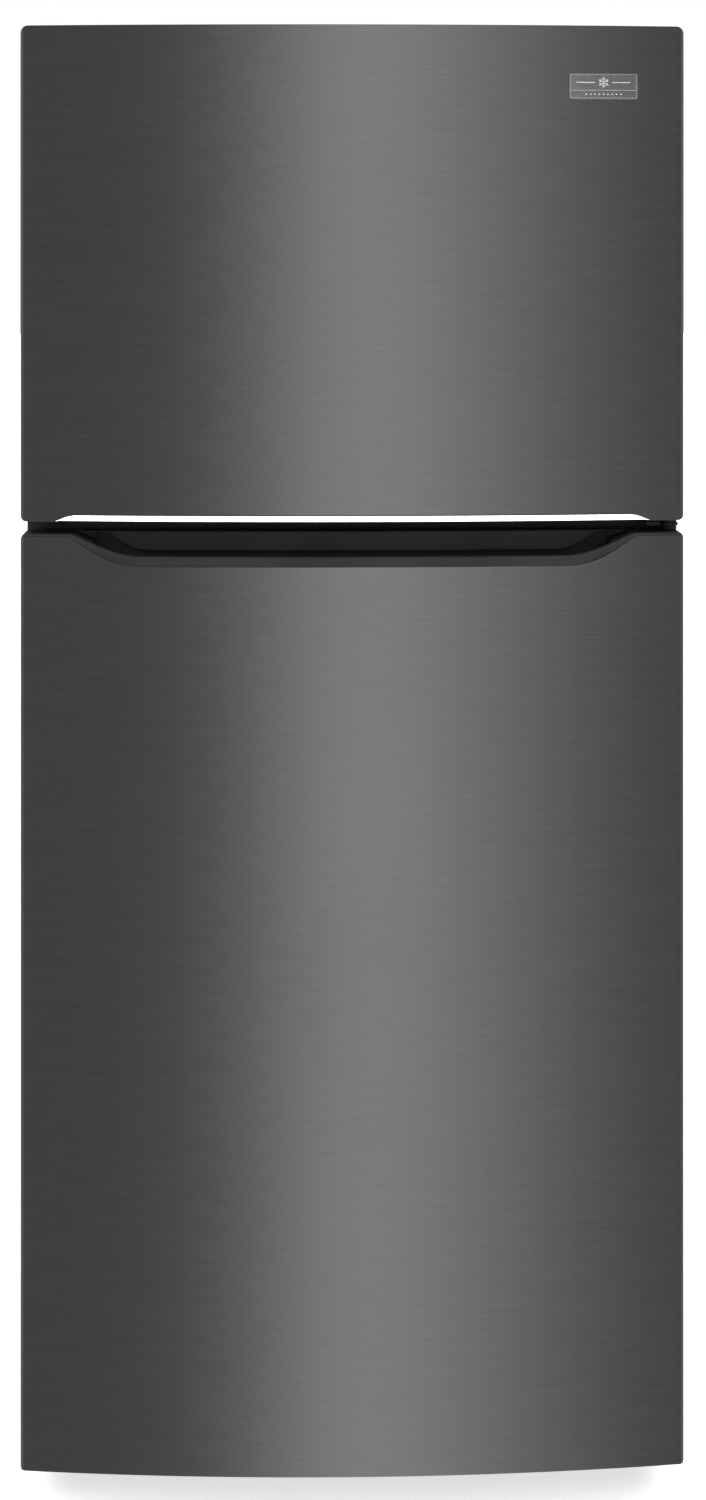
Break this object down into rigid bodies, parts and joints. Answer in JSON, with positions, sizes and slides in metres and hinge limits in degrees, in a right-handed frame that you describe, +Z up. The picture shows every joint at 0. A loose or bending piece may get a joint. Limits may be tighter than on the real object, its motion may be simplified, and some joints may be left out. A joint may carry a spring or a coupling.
{
  "type": "top freezer refrigerator",
  "caption": "Free-standing refrigerator with a freezer above and bowed dark brushed steel doors hinged on the right, opened by a pocket in the lower door's top edge.",
  "frame": {"origin": "on the floor, under the middle of the whole refrigerator's box", "axes": "+X to the right seen from the front, +Y to the back, +Z up; the doors face -Y"},
  "size_m": [0.756, 0.783, 1.698],
  "materials": {
    "black_steel": "dark horizontally brushed stainless steel, satin",
    "case_paint": "charcoal paint with a fine textured surface",
    "black_plastic": "moulded black plastic, satin",
    "bright_trim": "polished bright metal",
    "badge_metal": "dark brushed plate with a bright rim",
    "white_liner": "vacuum-formed white plastic, soft gloss",
    "shelf_wire": "white plastic-coated wire",
    "foam": "rigid polyurethane foam, porous",
    "gasket_vinyl": "dark grey magnetic vinyl seal, matt",
    "grey_steel": "zinc-plated sheet steel, faint spangle",
    "clear_plastic": "clear moulded plastic, polished",
    "glass": "clear tempered glass with green edges",
    "compressor_paint": "black enamel",
    "aluminium": "mill-finish aluminium",
    "grey_plastic": "moulded grey plastic",
    "roller_nylon": "hard black nylon, lightly scuffed"
  },
  "bodies": {
    "cabinet": {"cabinet_wrapper": "case_paint", "rear_panel": "grey_steel", "foam_insulation": "foam", "fresh_food_liner": "white_liner", "freezer_liner": "white_liner", "mullion_rail": "case_paint", "base_pan": "grey_steel", "base_rail_left": "grey_steel", "base_rail_right": "grey_steel", "toe_grille": "black_plastic", "machine_cover": "grey_steel", "compressor_tray": "grey_steel", "compressor": "compressor_paint", "condenser_coil": "compressor_paint", "drain_pan": "black_plastic", "condenser_fan_motor": "grey_steel", "evaporator_coil": "aluminium", "evaporator_cover": "white_liner", "evaporator_fan_motor": "grey_steel", "freezer_shelf": "shelf_wire", "crisper_cover_frame": "white_liner", "crisper_cover_glass": "glass", "control_housing": "white_liner", "top_hinge": "grey_steel", "top_hinge_cover": "black_plastic", "center_hinge": "grey_steel", "bottom_hinge": "grey_steel", "lower_shelf_glass": "glass", "lower_shelf_trim": "white_liner", "upper_shelf_glass": "glass", "upper_shelf_trim": "white_liner"},
    "freezer_door": {"freezer_door_skin": "black_steel", "freezer_door_top_cap": "black_plastic", "freezer_door_bottom_cap": "black_plastic", "freezer_grip_trim": "bright_trim", "freezer_door_foam": "foam", "freezer_door_liner": "white_liner", "freezer_gasket": "gasket_vinyl", "freezer_bin_lower": "clear_plastic", "freezer_bin_upper": "clear_plastic", "badge_plate": "badge_metal"},
    "fridge_door": {"fridge_door_skin": "black_steel", "fridge_door_top_cap": "black_plastic", "fridge_door_bottom_cap": "black_plastic", "fridge_door_foam": "foam", "fridge_door_liner": "white_liner", "fridge_gasket": "gasket_vinyl", "door_bin_lower": "clear_plastic", "door_bin_middle": "clear_plastic", "dairy_bin": "clear_plastic"},
    "dairy_lid": {"dairy_lid": "clear_plastic"},
    "crisper_left": {"crisper_left": "clear_plastic"},
    "crisper_right": {"crisper_right": "clear_plastic"},
    "temperature_dial": {"temperature_dial": "grey_plastic"},
    "condenser_fan_blade": {"condenser_fan_blade": "black_plastic"},
    "evaporator_fan_blade": {"evaporator_fan_blade": "grey_plastic"},
    "roller_left": {"roller_left": "roller_nylon"},
    "roller_right": {"roller_right": "roller_nylon"},
    "leg_left": {"leg_left": "black_plastic"},
    "leg_right": {"leg_right": "black_plastic"}
  },
  "joints": [
    {"name": "freezer_door_hinge", "type": "hinge", "parent": "cabinet", "child": "freezer_door", "pos_m": [0.365, -0.335, 1.128], "axis": [0, 0, 1], "range_deg": [0, 120]},
    {"name": "fridge_door_hinge", "type": "hinge", "parent": "cabinet", "child": "fridge_door", "pos_m": [0.365, -0.335, 0.058], "axis": [0, 0, 1], "range_deg": [0, 120]},
    {"name": "crisper_left_slide", "type": "slide", "parent": "cabinet", "child": "crisper_left", "axis": [0, -1, 0], "range_m": [0, 0.231]},
    {"name": "crisper_right_slide", "type": "slide", "parent": "cabinet", "child": "crisper_right", "axis": [0, -1, 0], "range_m": [0, 0.231]},
    {"name": "dairy_lid_hinge", "type": "hinge", "parent": "fridge_door", "child": "dairy_lid", "pos_m": [0, -0.2675, 1.0053], "axis": [1, 0, 0], "range_deg": [0, 80]},
    {"name": "temperature_dial_turn", "type": "hinge", "parent": "cabinet", "child": "temperature_dial", "pos_m": [-0.115, -0.1578, 1.0647], "axis": [0, -1, 0], "range_deg": [0, 270]},
    {"name": "condenser_fan_spin", "type": "hinge", "parent": "cabinet", "child": "condenser_fan_blade", "pos_m": [0.0645, 0.2715, 0.15], "axis": [1, 0, 0], "continuous": true},
    {"name": "evaporator_fan_spin", "type": "hinge", "parent": "cabinet", "child": "evaporator_fan_blade", "pos_m": [0, 0.2675, 1.512], "axis": [0, 1, 0], "continuous": true},
    {"name": "roller_left_roll", "type": "hinge", "parent": "cabinet", "child": "roller_left", "pos_m": [-0.3575, 0.3295, 0.022], "axis": [1, 0, 0], "continuous": true},
    {"name": "roller_right_roll", "type": "hinge", "parent": "cabinet", "child": "roller_right", "pos_m": [0.3575, 0.3295, 0.022], "axis": [1, 0, 0], "continuous": true},
    {"name": "leg_left_turn", "type": "hinge", "parent": "cabinet", "child": "leg_left", "pos_m": [-0.3575, -0.2185, 0], "axis": [0, 0, 1], "continuous": true},
    {"name": "leg_right_turn", "type": "hinge", "parent": "cabinet", "child": "leg_right", "pos_m": [0.3575, -0.2185, 0], "axis": [0, 0, 1], "continuous": true}
  ],
  "couplings": [
    {"joint": "crisper_left_slide", "follows": "fridge_door_hinge", "m_per_rad": 0.1102},
    {"joint": "crisper_right_slide", "follows": "fridge_door_hinge", "m_per_rad": 0.1102}
  ]
}
